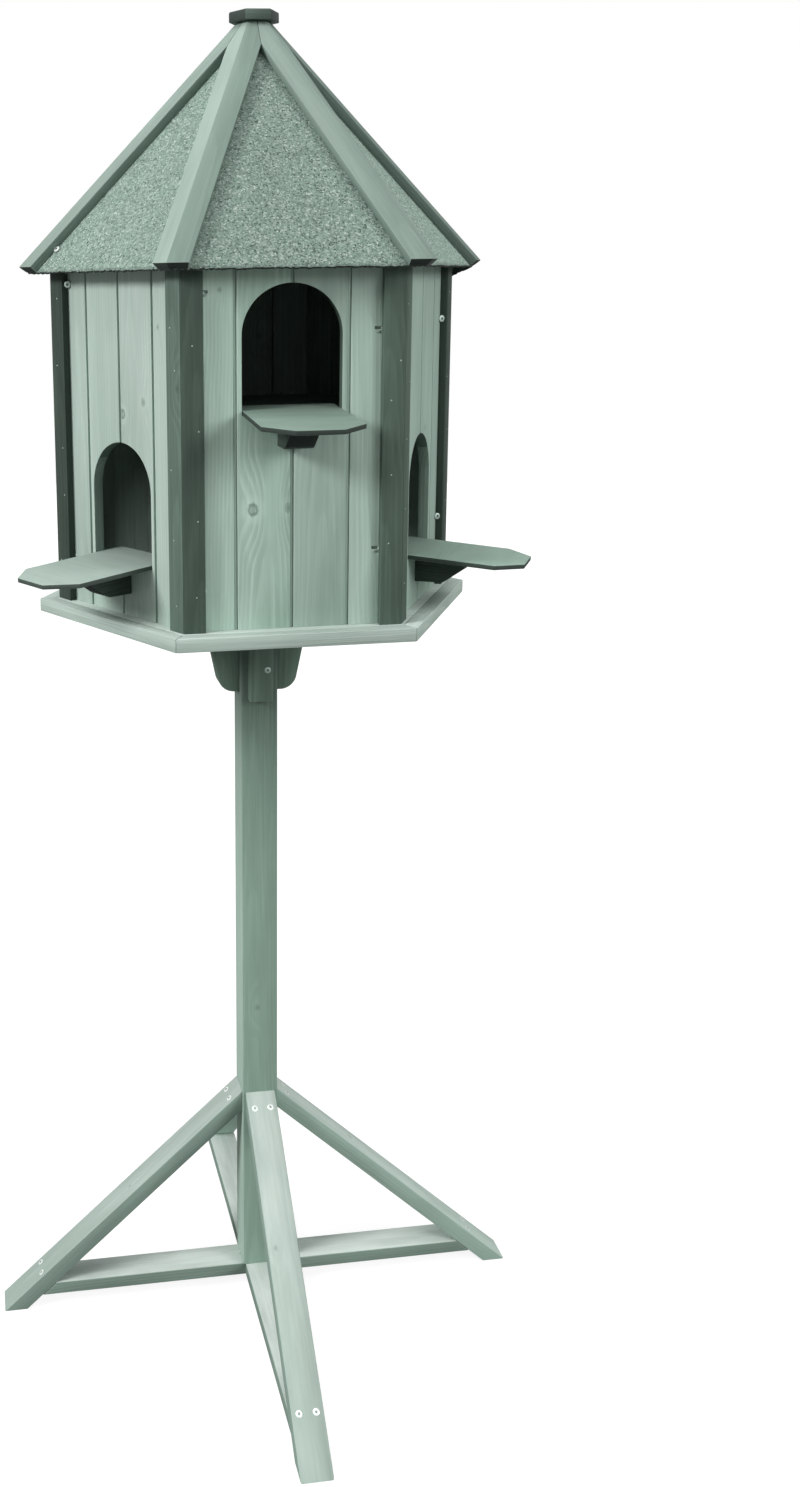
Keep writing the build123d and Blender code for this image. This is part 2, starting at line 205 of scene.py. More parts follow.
def lay_grain(piece, seed, cuts=("flat", "flat", "rift", "quarter"), coats=None, knots=(),
              knot_chance=0.2, along=None, thin_edges=False):
    """Gives every board of a piece its own length of timber.

    The attribute "grain" is a point's place in the log, from the pith: along it, across the board
    and through it. "knot" and "pin_knot" are its place from the middle of a knot, and the knot's
    size. "stain_off" is how much lighter the board's stain is, and "sawn" marks its sawn ends.
    cuts and coats say how the boards were cut from the log and how much lighter each is, from the
    left; without coats, chance picks the cuts. knots are places and sizes, and knot_chance is the
    chance that a board with none of them has one somewhere. along is the way that the grain runs,
    if not along the longest edge. With thin_edges all edges are sawn ones.
    """
    rng = random.Random(seed)
    mesh = piece.data
    board, ends = boards_in(mesh)
    place = np.zeros(len(mesh.vertices) * 3)
    mesh.vertices.foreach_get("co", place)
    place = place.reshape(-1, 3)
    count = len(mesh.polygons)
    normal, area = np.zeros(count * 3), np.zeros(count)
    first, corner = np.zeros(count, np.int32), np.zeros(len(mesh.loops), np.int32)
    mesh.polygons.foreach_get("normal", normal)
    mesh.polygons.foreach_get("area", area)
    mesh.polygons.foreach_get("loop_start", first)
    mesh.loops.foreach_get("vertex_index", corner)
    normal = normal.reshape(-1, 3)
    face_board = board[corner[first]]
    grain = np.zeros((len(place), 3))
    stain_off = np.zeros(len(place))
    near = {"knot": np.full((len(place), 3), 9.0), "pin_knot": np.full((len(place), 3), 9.0)}
    sawn = np.zeros(count)
    middles = [place[board == n].mean(axis=0) for n in range(board.max() + 1)]
    wide = 0
    for n in sorted(range(len(middles)), key=lambda n: tuple(np.round(middles[n], 3))):
        own, own_faces = board == n, face_board == n
        if along is None:
            own_edges = ends[own[ends[:, 0]]]
            spans = place[own_edges[:, 1]] - place[own_edges[:, 0]]
            length_way = spans[np.argmax((spans ** 2).sum(axis=1))]
        else:
            length_way = np.array(along, float)
        length_way = length_way / np.linalg.norm(length_way)
        if length_way[2] < -0.01 or (abs(length_way[2]) <= 0.01 and length_way[0] < 0):
            length_way = -length_way
        flat_on = own_faces & (abs(normal @ length_way) < 0.3)
        largest = normal[flat_on][np.argsort(-area[flat_on])[:4]]
        through = max(largest, key=lambda m: round(area[flat_on & (abs(normal @ m) > 0.99)].sum(), 9))
        across = np.cross(length_way, through)
        across /= np.linalg.norm(across)
        through = np.cross(across, length_way)
        centre = (place[own].min(axis=0) + place[own].max(axis=0)) / 2
        off = place[own] - centre
        # Each point's place along, across and through the board, from its middle.
        l, a, t = off @ length_way, off @ across, off @ through
        cut = cuts[wide % len(cuts)] if coats else rng.choice(cuts)
        side, deep = {
            "flat": (rng.uniform(-0.012, 0.012), rng.uniform(0.030, 0.055)),
            "rift": (rng.choice((-1, 1)) * rng.uniform(0.035, 0.055), rng.uniform(0.030, 0.050)),
            "quarter": (rng.choice((-1, 1)) * rng.uniform(0.070, 0.100), rng.uniform(0.002, 0.015)),
        }[cut]
        grain[own] = np.stack([l + rng.uniform(0, 7), a + side, t + deep], axis=1)
        stain_off[own] = rng.uniform(-0.05, 0.05) + (coats[wide % len(coats)] if coats else 0.0)
        here = []
        for spot, size in knots:
            d = np.array(spot) - centre
            d = (d @ length_way, d @ across, d @ through)
            reach = [abs(places).max() for places in (l, a, t)]
            if abs(d[0]) < reach[0] and abs(d[1]) < reach[1] and abs(d[2]) < reach[2] + 0.01:
                here.append(("pin_knot" if here or size < PIN_KNOT else "knot", d[0], d[1], size))
        if not here and rng.random() < knot_chance:
            here.append(("pin_knot", rng.uniform(-0.8, 0.8) * abs(l).max(),
                         rng.uniform(-0.7, 0.7) * abs(a).max(), rng.uniform(0.0025, 0.0050)))
        for kind, kl, ka, size in here[:2]:
            near[kind][own] = np.stack([l - kl, a - ka, np.full(len(l), size)], axis=1)
        sawn[own_faces] = abs(normal[own_faces] @ length_way) > 0.60
        if thin_edges:
            sawn[own_faces] = abs(normal[own_faces] @ through) < 0.5
        wide += 2 * abs(a).max() > NARROWEST_BOARD
    mesh.attributes.new("grain", "FLOAT_VECTOR", "POINT").data.foreach_set("vector", grain.ravel())
    for name, values in near.items():
        mesh.attributes.new(name, "FLOAT_VECTOR", "POINT").data.foreach_set("vector", values.ravel())
    mesh.attributes.new("stain_off", "FLOAT", "POINT").data.foreach_set("value", stain_off)
    mesh.attributes.new("sawn", "FLOAT", "FACE").data.foreach_set("value", sawn)


def hand_in(piece, slot, *stands_for):
    """Attaches the piece to the root, and hides the CAD nodes that it stands for. slot is not used."""
    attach(piece, "root")
    if stands_for:
        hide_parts(*stands_for)


def block(name, middle, size, turn=0.0):
    """A plain block at its place, to cut other pieces with."""
    bpy.ops.mesh.primitive_cube_add(size=1.0, location=middle, scale=size,
                                    rotation=(0, 0, math.radians(turn)))
    cutter = bpy.context.view_layer.objects.active
    cutter.name = name
    settle(cutter)
    return cutter


def join(pieces, name):
    """Joins pieces into the first of them."""
    bpy.ops.object.select_all(action="DESELECT")
    for piece in pieces:
        piece.select_set(True)
    bpy.context.view_layer.objects.active = pieces[0]
    bpy.ops.object.join()
    pieces[0].name = name
    return pieces[0]


def on_face(node, towards, s, z):
    """A place on the outermost flat face of a CAD node that looks this way, and the face's normal.

    s is how far it is to the right of the face's middle, and z is its height above the ground.
    """
    towards = Vector(towards).normalized()
    faces = cad[node].data.polygons
    best = max(faces, key=lambda f: (round(f.normal.dot(towards), 2),
                                     round(f.center.dot(towards), 3), f.area))
    n = best.normal.copy()
    same = [f for f in faces
            if f.normal.dot(n) > 0.999 and abs((f.center - best.center).dot(n)) < 2 * TOUCH]
    middle = sum((f.center * f.area for f in same), Vector()) / sum(f.area for f in same)
    across = Vector((0, 0, 1)).cross(n).normalized()
    rise = n.cross(across)
    return middle + across * s + rise * ((z - middle.z) / rise.z), n


# ---- colours and finishes ----------------------------------------------------------------------
def colour(code):
    """An sRGB hex colour as the linear values that a shader takes."""
    parts = [int(code[i:i + 2], 16) / 255 for i in (1, 3, 5)]
    return tuple(c / 12.92 if c <= 0.04045 else ((c + 0.055) / 1.055) ** 2.4 for c in parts) + (1.0,)


def add(material, kind, *values, named=None, **settings):
    """Adds a node with its settings, and sets or links its inputs: values in order, and named ones."""
    tree = material.node_tree
    node = tree.nodes.new("ShaderNode" + kind)
    for name, value in settings.items():
        setattr(node, name, value)
    filled = list(zip([s for s in node.inputs if s.enabled], values))
    filled += [(node.inputs[name], value) for name, value in (named or {}).items()]
    for socket, value in filled:
        if isinstance(value, bpy.types.NodeSocket):
            tree.links.new(value, socket)
        else:
            socket.default_value = value
    shown = [s for s in node.outputs if s.enabled]
    return shown[0] if shown else node


def new_material(name):
    """An empty material."""
    material = bpy.data.materials.new(name)
    material.use_nodes = True
    material.node_tree.nodes.clear()
    return material


def stained_pine(name, stain, late, deep, ends, ring=3.6, figure=0.40, streaks=0.10, mottle=0.40,
                 knot_mark=0.55, bleach_and_light=0.0, bleached_and_lit="#BAC4BE", weather_and_light_from=(0.0, 0.0, 1.0), rough=0.72):
    """Sawn and planed pine under a thin stain.

    The stain soaks into the soft early wood, so the hard late wood shows as paler lines: nested
    arches where the board is cut flat through the log, straight lines where it is cut on the
    quarter. ring is the width of a year's growth in millimetres. Faces turned the way that the
    weather and the light come from are painted paler: partly sun-bleaching, partly painted light.
    """
    m = new_material(name)
    grain = add(m, "Attribute", attribute_name="grain").node.outputs["Vector"]
    stain_off, arris, sawn = (add(m, "Attribute", attribute_name=mark).node.outputs["Fac"]
                              for mark in ("stain_off", "arris", "sawn"))

    # Noise drawn out along the board: waves per metre along, across and through it. The streaks
    # are bundles of fibre of about 2 mm, as fine as shows from a few steps away.
    field = {}
    for use, waves, detail in (("wander", (2.6, 9.0, 9.0), 2.0), ("ripple", (14.0, 70.0, 70.0), 2.0),
                               ("broken", (5.0, 60.0, 60.0), 2.0), ("streak", (7.0, 430.0, 430.0), 3.0),
                               ("fibre", (30.0, 2100.0, 2100.0), 2.0), ("cloud", (7.0, 30.0, 30.0), 3.0),
                               ("soak", (2.2, 11.0, 11.0), 2.0)):
        drawn_out = add(m, "VectorMath", grain, waves, operation="MULTIPLY")
        field[use] = add(m, "TexNoise", drawn_out, 1.0, detail, 0.55)

    # The growth rings: how far a point is from the pith, which wanders and tapers along the log.
    from_pith = add(m, "VectorMath", grain, (0.0, 1.0, 1.0), operation="MULTIPLY")
    rings = add(m, "VectorMath", from_pith, operation="LENGTH")
    rings = add(m, "Math", field["wander"], 0.016, rings, operation="MULTIPLY_ADD")
    rings = add(m, "Math", field["ripple"], 0.0022, rings, operation="MULTIPLY_ADD")
    rings = add(m, "Math", add(m, "SeparateXYZ", grain), 0.022, rings, operation="MULTIPLY_ADD")

    # Knots: the rings flow round each one, which has a soft dark rim and a pale halo.
    marks = []
    for kind, shares in (("knot", (0.90, 0.45, 0.60)), ("pin_knot", (0.35, 0.90, 0.25))):
        near = add(m, "Attribute", attribute_name=kind).node.outputs["Vector"]
        size = add(m, "SeparateXYZ", near).node.outputs["Z"]
        jog = add(m, "TexNoise", near, 210.0, 2.0)
        flat = add(m, "VectorMath", near, (0.80, 1.0, 0.0), operation="MULTIPLY")
        reach = add(m, "Math", add(m, "VectorMath", flat, operation="LENGTH"), size, operation="DIVIDE")
        reach = add(m, "Math", jog, 0.9, reach, operation="MULTIPLY_ADD")
        long = add(m, "VectorMath", near, (0.30, 1.0, 0.0), operation="MULTIPLY")
        swell = add(m, "Math", add(m, "VectorMath", long, operation="LENGTH"), size, operation="DIVIDE")
        swell = add(m, "MapRange", swell, 4.2, 0.4, 0.0, 1.7, interpolation_type="SMOOTHSTEP")
        rings = add(m, "Math", swell, size, rings, operation="MULTIPLY_ADD")
        # Reach has 0.45 of jog in it on average: the rim is at 0.9 of the size, the halo round it.
        shape = []
        bands = ((0.75, 1.30, 1.90), (0.10, 0.40, 1.60), (1.40, 1.95, 3.80))
        for (inner, crest, outer), share in zip(bands, shares):
            up = add(m, "MapRange", reach, inner, crest, interpolation_type="SMOOTHSTEP")
            down = add(m, "MapRange", reach, outer, crest, 0.0, share, interpolation_type="SMOOTHSTEP")
            shape.append(add(m, "Math", up, down, operation="MULTIPLY"))
        marks.append(shape)
    rim, heart, halo = (add(m, "Math", a, b, operation="MAXIMUM") for a, b in zip(*marks))

    year = add(m, "Math", add(m, "Math", rings, ring / 1000, operation="DIVIDE"), operation="FRACT")
    late_wood = add(m, "MapRange", year, 0.30, 0.82, interpolation_type="SMOOTHSTEP")
    late_edge = add(m, "MapRange", year, 0.99, 0.88, interpolation_type="SMOOTHSTEP")
    late_wood = add(m, "Math", late_wood, late_edge, operation="MULTIPLY")
    whole = add(m, "MapRange", field["broken"], 0.32, 0.62, 0.15, 1.0, interpolation_type="SMOOTHSTEP")
    late_wood = add(m, "Math", late_wood, whole, operation="MULTIPLY")

    # The stain: deeper in some patches, thin over late wood and halos, dark on rims and sawn ends.
    patches = add(m, "MapRange", field["cloud"], 0.38, 0.66, 0.0, mottle, interpolation_type="SMOOTHSTEP")
    body = add(m, "Mix", patches, colour(stain), colour(deep), data_type="RGBA")
    # Painted light, partly sun-bleaching: faces turned towards the lamps' side are paler.
    if bleach_and_light:
        normal = add(m, "NewGeometry").node.outputs["Normal"]
        up = add(m, "VectorMath", normal, tuple(Vector(weather_and_light_from).normalized()), operation="DOT_PRODUCT")
        up = add(m, "MapRange", up, 0.30, 0.92, 0.0, bleach_and_light, interpolation_type="SMOOTHSTEP")
        patchy = add(m, "MapRange", field["cloud"], 0.30, 0.70, 1.0, 0.60)
        weather_and_light = add(m, "Math", up, patchy, operation="MULTIPLY")
        body = add(m, "Mix", weather_and_light, body, colour(bleached_and_lit), data_type="RGBA")
    # Late wood and halos paler, knot hearts and rims darker, arrises paler: partly wear, partly painted
    # highlight.
    for mask, share, code in ((late_wood, figure, late), (halo, knot_mark, late), (heart, knot_mark, ends),
                              (rim, knot_mark, ends), (arris, 0.25, late)):
        part = add(m, "Math", mask, share, operation="MULTIPLY")
        body = add(m, "Mix", part, body, colour(code), data_type="RGBA")
    sawn = add(m, "Math", sawn, 0.92, operation="MULTIPLY")
    body = add(m, "Mix", sawn, body, colour(ends), data_type="RGBA")
    shade = add(m, "Math", field["streak"], 3.4 * streaks, 0.90 - 2.1 * streaks, operation="MULTIPLY_ADD")
    shade = add(m, "Math", field["fibre"], 0.8 * streaks, shade, operation="MULTIPLY_ADD")
    shade = add(m, "Math", field["soak"], 0.20, shade, operation="MULTIPLY_ADD")
    shade = add(m, "Math", shade, stain_off, operation="ADD")
    body = add(m, "VectorMath", body, shade, operation="SCALE")

    # Planed wood keeps a faint washboard: late wood stands proud and the fibre lifts between.
    relief = add(m, "Math", late_wood, 0.5, field["streak"], operation="MULTIPLY_ADD")
    relief = add(m, "Math", field["fibre"], 0.4, relief, operation="MULTIPLY_ADD")
    relief = add(m, "Math", rim, -0.5, relief, operation="MULTIPLY_ADD")
    bump = add(m, "Bump", named={"Strength": 0.45, "Distance": 0.0004, "Height": relief})
    roughness = add(m, "Math", field["streak"], 0.22, rough - 0.11, operation="MULTIPLY_ADD")
    shader = add(m, "BsdfPrincipled", named={"Base Color": body, "Roughness": roughness, "Normal": bump,
                                             "IOR": 1.45, "Specular IOR Level": 0.30})
    add(m, "OutputMaterial", shader)
    return m


def mineral_felt(name, foot):
    """Bitumen roofing felt faced with crushed slate.

    Crushed stone of 1 to 3 mm, some of it pale and some dark, is pressed into the bitumen, so the
    sheet is dull and speckled all over. The grains are drawn at 1.9 mm, so that they still show
    from a few steps away. At the cut edge, at the height foot, many grains are lost. Each sheet
    is painted lighter or darker by its own amount: painted light, for how much light falls on it.
    """
    m = new_material(name)
    place = add(m, "TexCoord").node.outputs["Object"]
    grit = add(m, "TexVoronoi", named={"Vector": place, "Scale": 1 / 0.0019})
    dust = add(m, "TexVoronoi", named={"Vector": place, "Scale": 1 / 0.0012})
    pick = add(m, "SeparateColor", grit.node.outputs["Color"])
    ramp = add(m, "ValToRGB", pick)
    stops = ramp.node.color_ramp.elements
    stops[0].color = colour("#42524A")
    stops[1].position, stops[1].color = 1.0, colour("#BAC4BE")
    for position, code in ((0.10, "#66786F"), (0.28, "#778B80"), (0.62, "#83998D"),
                           (0.84, "#93A49B"), (0.95, "#A6B5AD")):
        stops.new(position).color = colour(code)
    dusty = add(m, "SeparateColor", dust.node.outputs["Color"])
    share = add(m, "Math", dusty, 0.36, 0.80, operation="MULTIPLY_ADD")
    cloud = add(m, "TexNoise", named={"Vector": place, "Scale": 24.0, "Detail": 3.0})
    cloud = add(m, "Math", cloud, 0.14, 0.86, operation="MULTIPLY_ADD")
    share = add(m, "Math", share, cloud, operation="MULTIPLY")
    height = add(m, "SeparateXYZ", place).node.outputs["Z"]
    worn = add(m, "MapRange", height, foot, foot + 0.007, 0.40, 1.0)
    share = add(m, "Math", share, worn, operation="MULTIPLY")
    painted_sheet_light = add(m, "Attribute", attribute_name="painted_sheet_light").node.outputs["Fac"]
    share = add(m, "Math", share, painted_sheet_light, operation="MULTIPLY")
    body = add(m, "VectorMath", ramp, share, operation="SCALE")
    relief = add(m, "Math", grit, -0.8, operation="MULTIPLY")
    relief = add(m, "Math", dust, -0.3, relief, operation="MULTIPLY_ADD")
    bump = add(m, "Bump", named={"Strength": 0.7, "Distance": 0.0008, "Height": relief})
    shader = add(m, "BsdfPrincipled", named={"Base Color": body, "Roughness": 0.92, "Normal": bump,
                                             "Specular IOR Level": 0.2})
    add(m, "OutputMaterial", shader)
    return m


def bare_bitumen(name):
    """The cut edge and the back of the felt: black bitumen with a dull, lumpy shine."""
    m = new_material(name)
    place = add(m, "TexCoord").node.outputs["Object"]
    lumps = add(m, "TexNoise", named={"Vector": place, "Scale": 500.0, "Detail": 3.0})
    body = add(m, "Mix", lumps, colour("#151A18"), colour("#333E38"), data_type="RGBA")
    bump = add(m, "Bump", named={"Strength": 0.5, "Distance": 0.0005, "Height": lumps})
    shader = add(m, "BsdfPrincipled", named={"Base Color": body, "Roughness": 0.75, "Normal": bump})
    add(m, "OutputMaterial", shader)
    return m


def zinc_plate(name, code, pale, roughness):
    """Zinc-plated steel, tumbled bright: a soft grey shine with faint cloudy patches."""
    m = new_material(name)
    place = add(m, "TexCoord").node.outputs["Object"]
    cloud = add(m, "TexNoise", named={"Vector": place, "Scale": 900.0, "Detail": 2.0})
    body = add(m, "Mix", cloud, colour(code), colour(pale), data_type="RGBA")
    rough = add(m, "Math", cloud, 0.2, roughness - 0.1, operation="MULTIPLY_ADD")
    shader = add(m, "BsdfPrincipled", named={"Base Color": body, "Roughness": rough, "Metallic": 0.7})
    add(m, "OutputMaterial", shader)
    return m


# Matchboard of pale sage: thin stain, so the pine's figure and its few knots show clearly.
# Faces turned to the left are painted paler: painted light of the lamp on the left.
wall_pine = stained_pine("sage_stained_pine_matchboard", "#9FB8AB", "#BBD0C5", "#88A092", "#5C6D64",
                         ring=4.6, figure=0.47, streaks=0.08, mottle=0.6, knot_mark=0.7,
                         bleach_and_light=1.0, bleached_and_lit="#ADBAB3", weather_and_light_from=(-0.90, -0.43, 0.0))
# The sawn edges of the holes: open grain, so the stain went in darker and blotched.
sawn_pine = stained_pine("sage_stained_sawn_pine_edge", "#83998D", "#98ABA1", "#66786F", "#55685E",
                         ring=4.6, figure=0.35, streaks=0.16, mottle=0.8, rough=0.85)
# The dark trim: a heavy coat of the same stain nearly hides the figure.
trim_pine = stained_pine("dark_green_stained_pine_trim", "#49594F", "#5F7267", "#38463E", "#1E2522",
                         ring=3.6, figure=0.35, streaks=0.17, mottle=0.6, rough=0.78)
# One strip by the left front corner took less stain, and its grain shows in streaks.
thin_coat_pine = stained_pine("thinly_stained_pine_trim", "#64786D", "#7D9488", "#52635A", "#3B4942",
                              ring=3.2, figure=0.45, streaks=0.18, rough=0.75)
# The cap: the same dark coat, painted paler on the side that faces the lamp on the left: painted light.
cap_pine = stained_pine("dark_green_stained_pine_cap", "#43524B", "#55655D", "#36433D", "#262F2B",
                        ring=3.0, figure=0.3, streaks=0.20, bleach_and_light=0.85, bleached_and_lit="#8A9F93",
                        weather_and_light_from=(-0.87, -0.50, 0.10), rough=0.6)
# Roof battens: pale stain, painted paler on the side that faces the lamp on the left: painted light.
# Their sawn ends are near black: end grain that took the stain, and painted shade on ends that face down.
batten_pine = stained_pine("pale_stained_pine_batten", "#80968B", "#98ABA1", "#6C8076", "#151A18",
                           ring=4.0, figure=0.35, streaks=0.07, mottle=0.7, bleach_and_light=0.70,
                           bleached_and_lit="#A6B5AD", weather_and_light_from=(-0.75, -0.20, 0.70))
# Edging of the floor: palest of the stained boards, with fine lines along each strip. Its tops are
# painted paler still: partly sun-bleaching, partly painted light from above.
edging_pine = stained_pine("pale_stained_pine_edging", "#A3B4AB", "#C2CFC8", "#889990", "#778B80",
                           ring=2.8, figure=0.45, streaks=0.19, bleach_and_light=0.8, bleached_and_lit="#C2CFC8")
# Legs and ties: planed pine, greener on the sides and paler on top: partly sun-bleaching, partly
# painted light from above. The front leg took more stain than the other three, and the ties took most.
stand_pine = stained_pine("green_stained_pine_leg", "#7A8F84", "#98ABA1", "#66786F", "#5C6D64", ring=4.4,
                          figure=0.30, streaks=0.09, mottle=0.6, bleach_and_light=0.95, bleached_and_lit="#CDD6D1")
pale_stand_pine = stained_pine("pale_green_stained_pine_leg", "#8DA599", "#A3B4AB", "#7A8F84",
                               "#5C6D64", ring=4.4, figure=0.30, streaks=0.09, mottle=0.6,
                               bleach_and_light=0.90, bleached_and_lit="#CDD6D1")
tie_pine = stained_pine("green_stained_pine_tie", "#566B60", "#A8B9AF", "#4B5F55", "#4C5D54", ring=4.4,
                        figure=0.15, streaks=0.09, mottle=0.6, bleach_and_light=1.0, bleached_and_lit="#DDE5E1")
# The post: the same timber, painted paler on the side that faces the lamp on the left: painted light.
post_pine = stained_pine("green_stained_pine_post", "#819B8C", "#96AEA0", "#6F877A", "#55655D", ring=4.4,
                         figure=0.30, streaks=0.11, bleach_and_light=0.6, bleached_and_lit="#B1C0B8", weather_and_light_from=(-1.0, 0.0, 0.2))
# Landing boards: smooth planed boards, their grain almost hidden.
landing_pine = stained_pine("smooth_stained_landing_board", "#82988C", "#93A69B", "#748A7F", "#232B27",
                            ring=2.6, figure=0.25, streaks=0.09, mottle=0.7, knot_mark=0.3)
# The left one is painted paler than the other two: painted light and sheen of the lamp on the left.
pale_landing_pine = stained_pine("painted_light_landing_board", "#A1B2A9", "#B1C0B8", "#93A49B", "#333E38",
                                 ring=2.6, figure=0.25, streaks=0.08, mottle=0.6, knot_mark=0.3)
# Inside the house: unplaned boards, stained once and gone dull with dust.
inner_pine = stained_pine("dull_unplaned_pine_inside", "#889990", "#98A69F", "#75857D", "#5C6D64",
                          ring=4.0, figure=0.5, streaks=0.15, rough=0.9)
# The boards under the felt are painted near black: painted shade under the eave.
soffit_pine = stained_pine("painted_shade_roof_boards", "#2D3430", "#3A4741", "#232B27", "#151A18",
                           ring=4.0, figure=0.4, streaks=0.15, rough=0.9)
felt = mineral_felt("green_mineral_roofing_felt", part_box("roof_felt")[0].z)
felt_back = bare_bitumen("black_bitumen_felt_back")
zinc = zinc_plate("bright_zinc_plated_steel", "#CDD6D1", "#E8ECEA", 0.45)
dull_zinc = zinc_plate("dull_zinc_plated_steel", "#8FA097", "#B1C0B8", 0.55)
recess = zinc_plate("dull_zinc_in_screw_recess", "#56635D", "#7C8A83", 0.7)


# ---- camera, light and floor -------------------------------------------------------------------
def set_camera():
    """A camera a little above the landing boards, in front and to the left, and turned to the right."""
    yaw, pitch, roll = (math.radians(v) for v in (-7.233, 11.202, -0.953))
    back = Vector((math.sin(yaw) * math.cos(pitch), -math.cos(yaw) * math.cos(pitch), math.sin(pitch)))
    level = Vector((math.cos(yaw), math.sin(yaw), 0.0))
    up = back.cross(level)
    right = level * math.cos(roll) + up * math.sin(roll)
    top = up * math.cos(roll) - level * math.sin(roll)
    lens = bpy.data.cameras.new("view")
    lens.lens, lens.shift_x, lens.shift_y, lens.sensor_width = 34.18, 0.1650, -0.1244, 36.0
    camera = bpy.data.objects.new("view", lens)
    bpy.context.scene.collection.objects.link(camera)
    turn = Matrix((right, top, back)).transposed().to_4x4()
    camera.matrix_world = Matrix.Translation((-0.396066, -1.965799, 1.571205)) @ turn
    bpy.context.scene.camera = camera


def set_lamp(name, comes_from, level, spread):
    """A broad soft lamp far off. At level 1, a face turned to it shows its own colour."""
    lamp = bpy.data.lights.new(name, "SUN")
    lamp.energy = level * math.pi
    lamp.angle = math.radians(spread)
    holder = bpy.data.objects.new(name, lamp)
    bpy.context.scene.collection.objects.link(holder)
    holder.rotation_euler = Vector(comes_from).to_track_quat("Z", "Y").to_euler()


def set_studio():
    """Soft light, mostly from the left, and a pale floor with a faint shadow."""
    set_lamp("soft_box_left", (-0.90, -0.30, 0.45), 0.84, 16)
    set_lamp("soft_box_right", (0.70, -0.66, 0.34), 0.43, 24)
    set_lamp("soft_box_above", (-0.12, -0.12, 1.0), 0.50, 50)

    world = bpy.data.worlds.new("white_studio")
    bpy.context.scene.world = world
    world.use_nodes = True
    world.node_tree.nodes.clear()
    rays = add(world, "LightPath").node.outputs
    seen = add(world, "Math", rays["Is Camera Ray"], rays["Is Glossy Ray"], operation="MAXIMUM")
    seen = add(world, "Math", seen, rays["Is Transmission Ray"], operation="MAXIMUM")
    strength = add(world, "MapRange", seen, 0.0, 1.0, 0.31, 1.0)
    add(world, "OutputWorld", add(world, "Background", (1.0, 1.0, 1.0, 1.0), strength))

    bpy.ops.mesh.primitive_circle_add(vertices=96, radius=9.0, fill_type="NGON", location=(0, 0, -0.0004))
    floor = bpy.context.view_layer.objects.active
    floor.name = "studio_floor"
    bpy.ops.object.mode_set(mode="EDIT")
    bpy.ops.mesh.select_all(action="SELECT")
    bpy.ops.mesh.inset(thickness=0.3, depth=0)
    bpy.ops.object.mode_set(mode="OBJECT")
    settle(floor)
    # Smooth painted board. To the camera it is white, with a faint shadow under the stand; the
    # light that it sends back up is that of a mid grey floor.
    m = new_material("matt_painted_floor")
    shown = add(m, "BsdfDiffuse", (0.22, 0.22, 0.22, 1.0))
    glow = add(m, "Emission", (1.0, 1.0, 1.0, 1.0), 0.88)
    plain = add(m, "BsdfDiffuse", (0.25, 0.26, 0.25, 1.0))
    shown = add(m, "AddShader", shown, glow)
    add(m, "OutputMaterial", add(m, "MixShader", add(m, "LightPath"), plain, shown))
    coat(floor, m)


# ---- timber pieces -----------------------------------------------------------------------------
def work_timber(node, material, slot, seed, radius=0.0014, keep_sharp=None, **grain):
    """A CAD timber with its arrises eased and its own grain."""
    piece = copy_of(node, node + "_timber")
    ease(piece, radius, keep_sharp)
    lay_grain(piece, seed, **grain)
    coat(piece, material)
    hand_in(piece, slot, node)
    return piece


def wall_layer(side, name, strips, top, foot, head):
    """What a CAD wall has within these strips, each a middle and a width, and below this top.

    The strips run from the height foot to the height head.
    """
    turn, depth = SIDES[side], 0.1
    cutters = []
    for s, width in strips:
        spot = outward(turn) * (top - depth / 2) + along_side(turn) * s
        cutters.append(block(name + "_cut", (spot.x, spot.y, (foot + head) / 2),
                             (width, depth, head - foot), turn))
    cutter = join(cutters, name + "_cutter")
    layer = copy_of("wall_" + side, side + "_" + name)
    finish_with(layer, "BOOLEAN", operation="INTERSECT", object=cutter, solver="EXACT")
    bpy.data.objects.remove(cutter)
    return layer


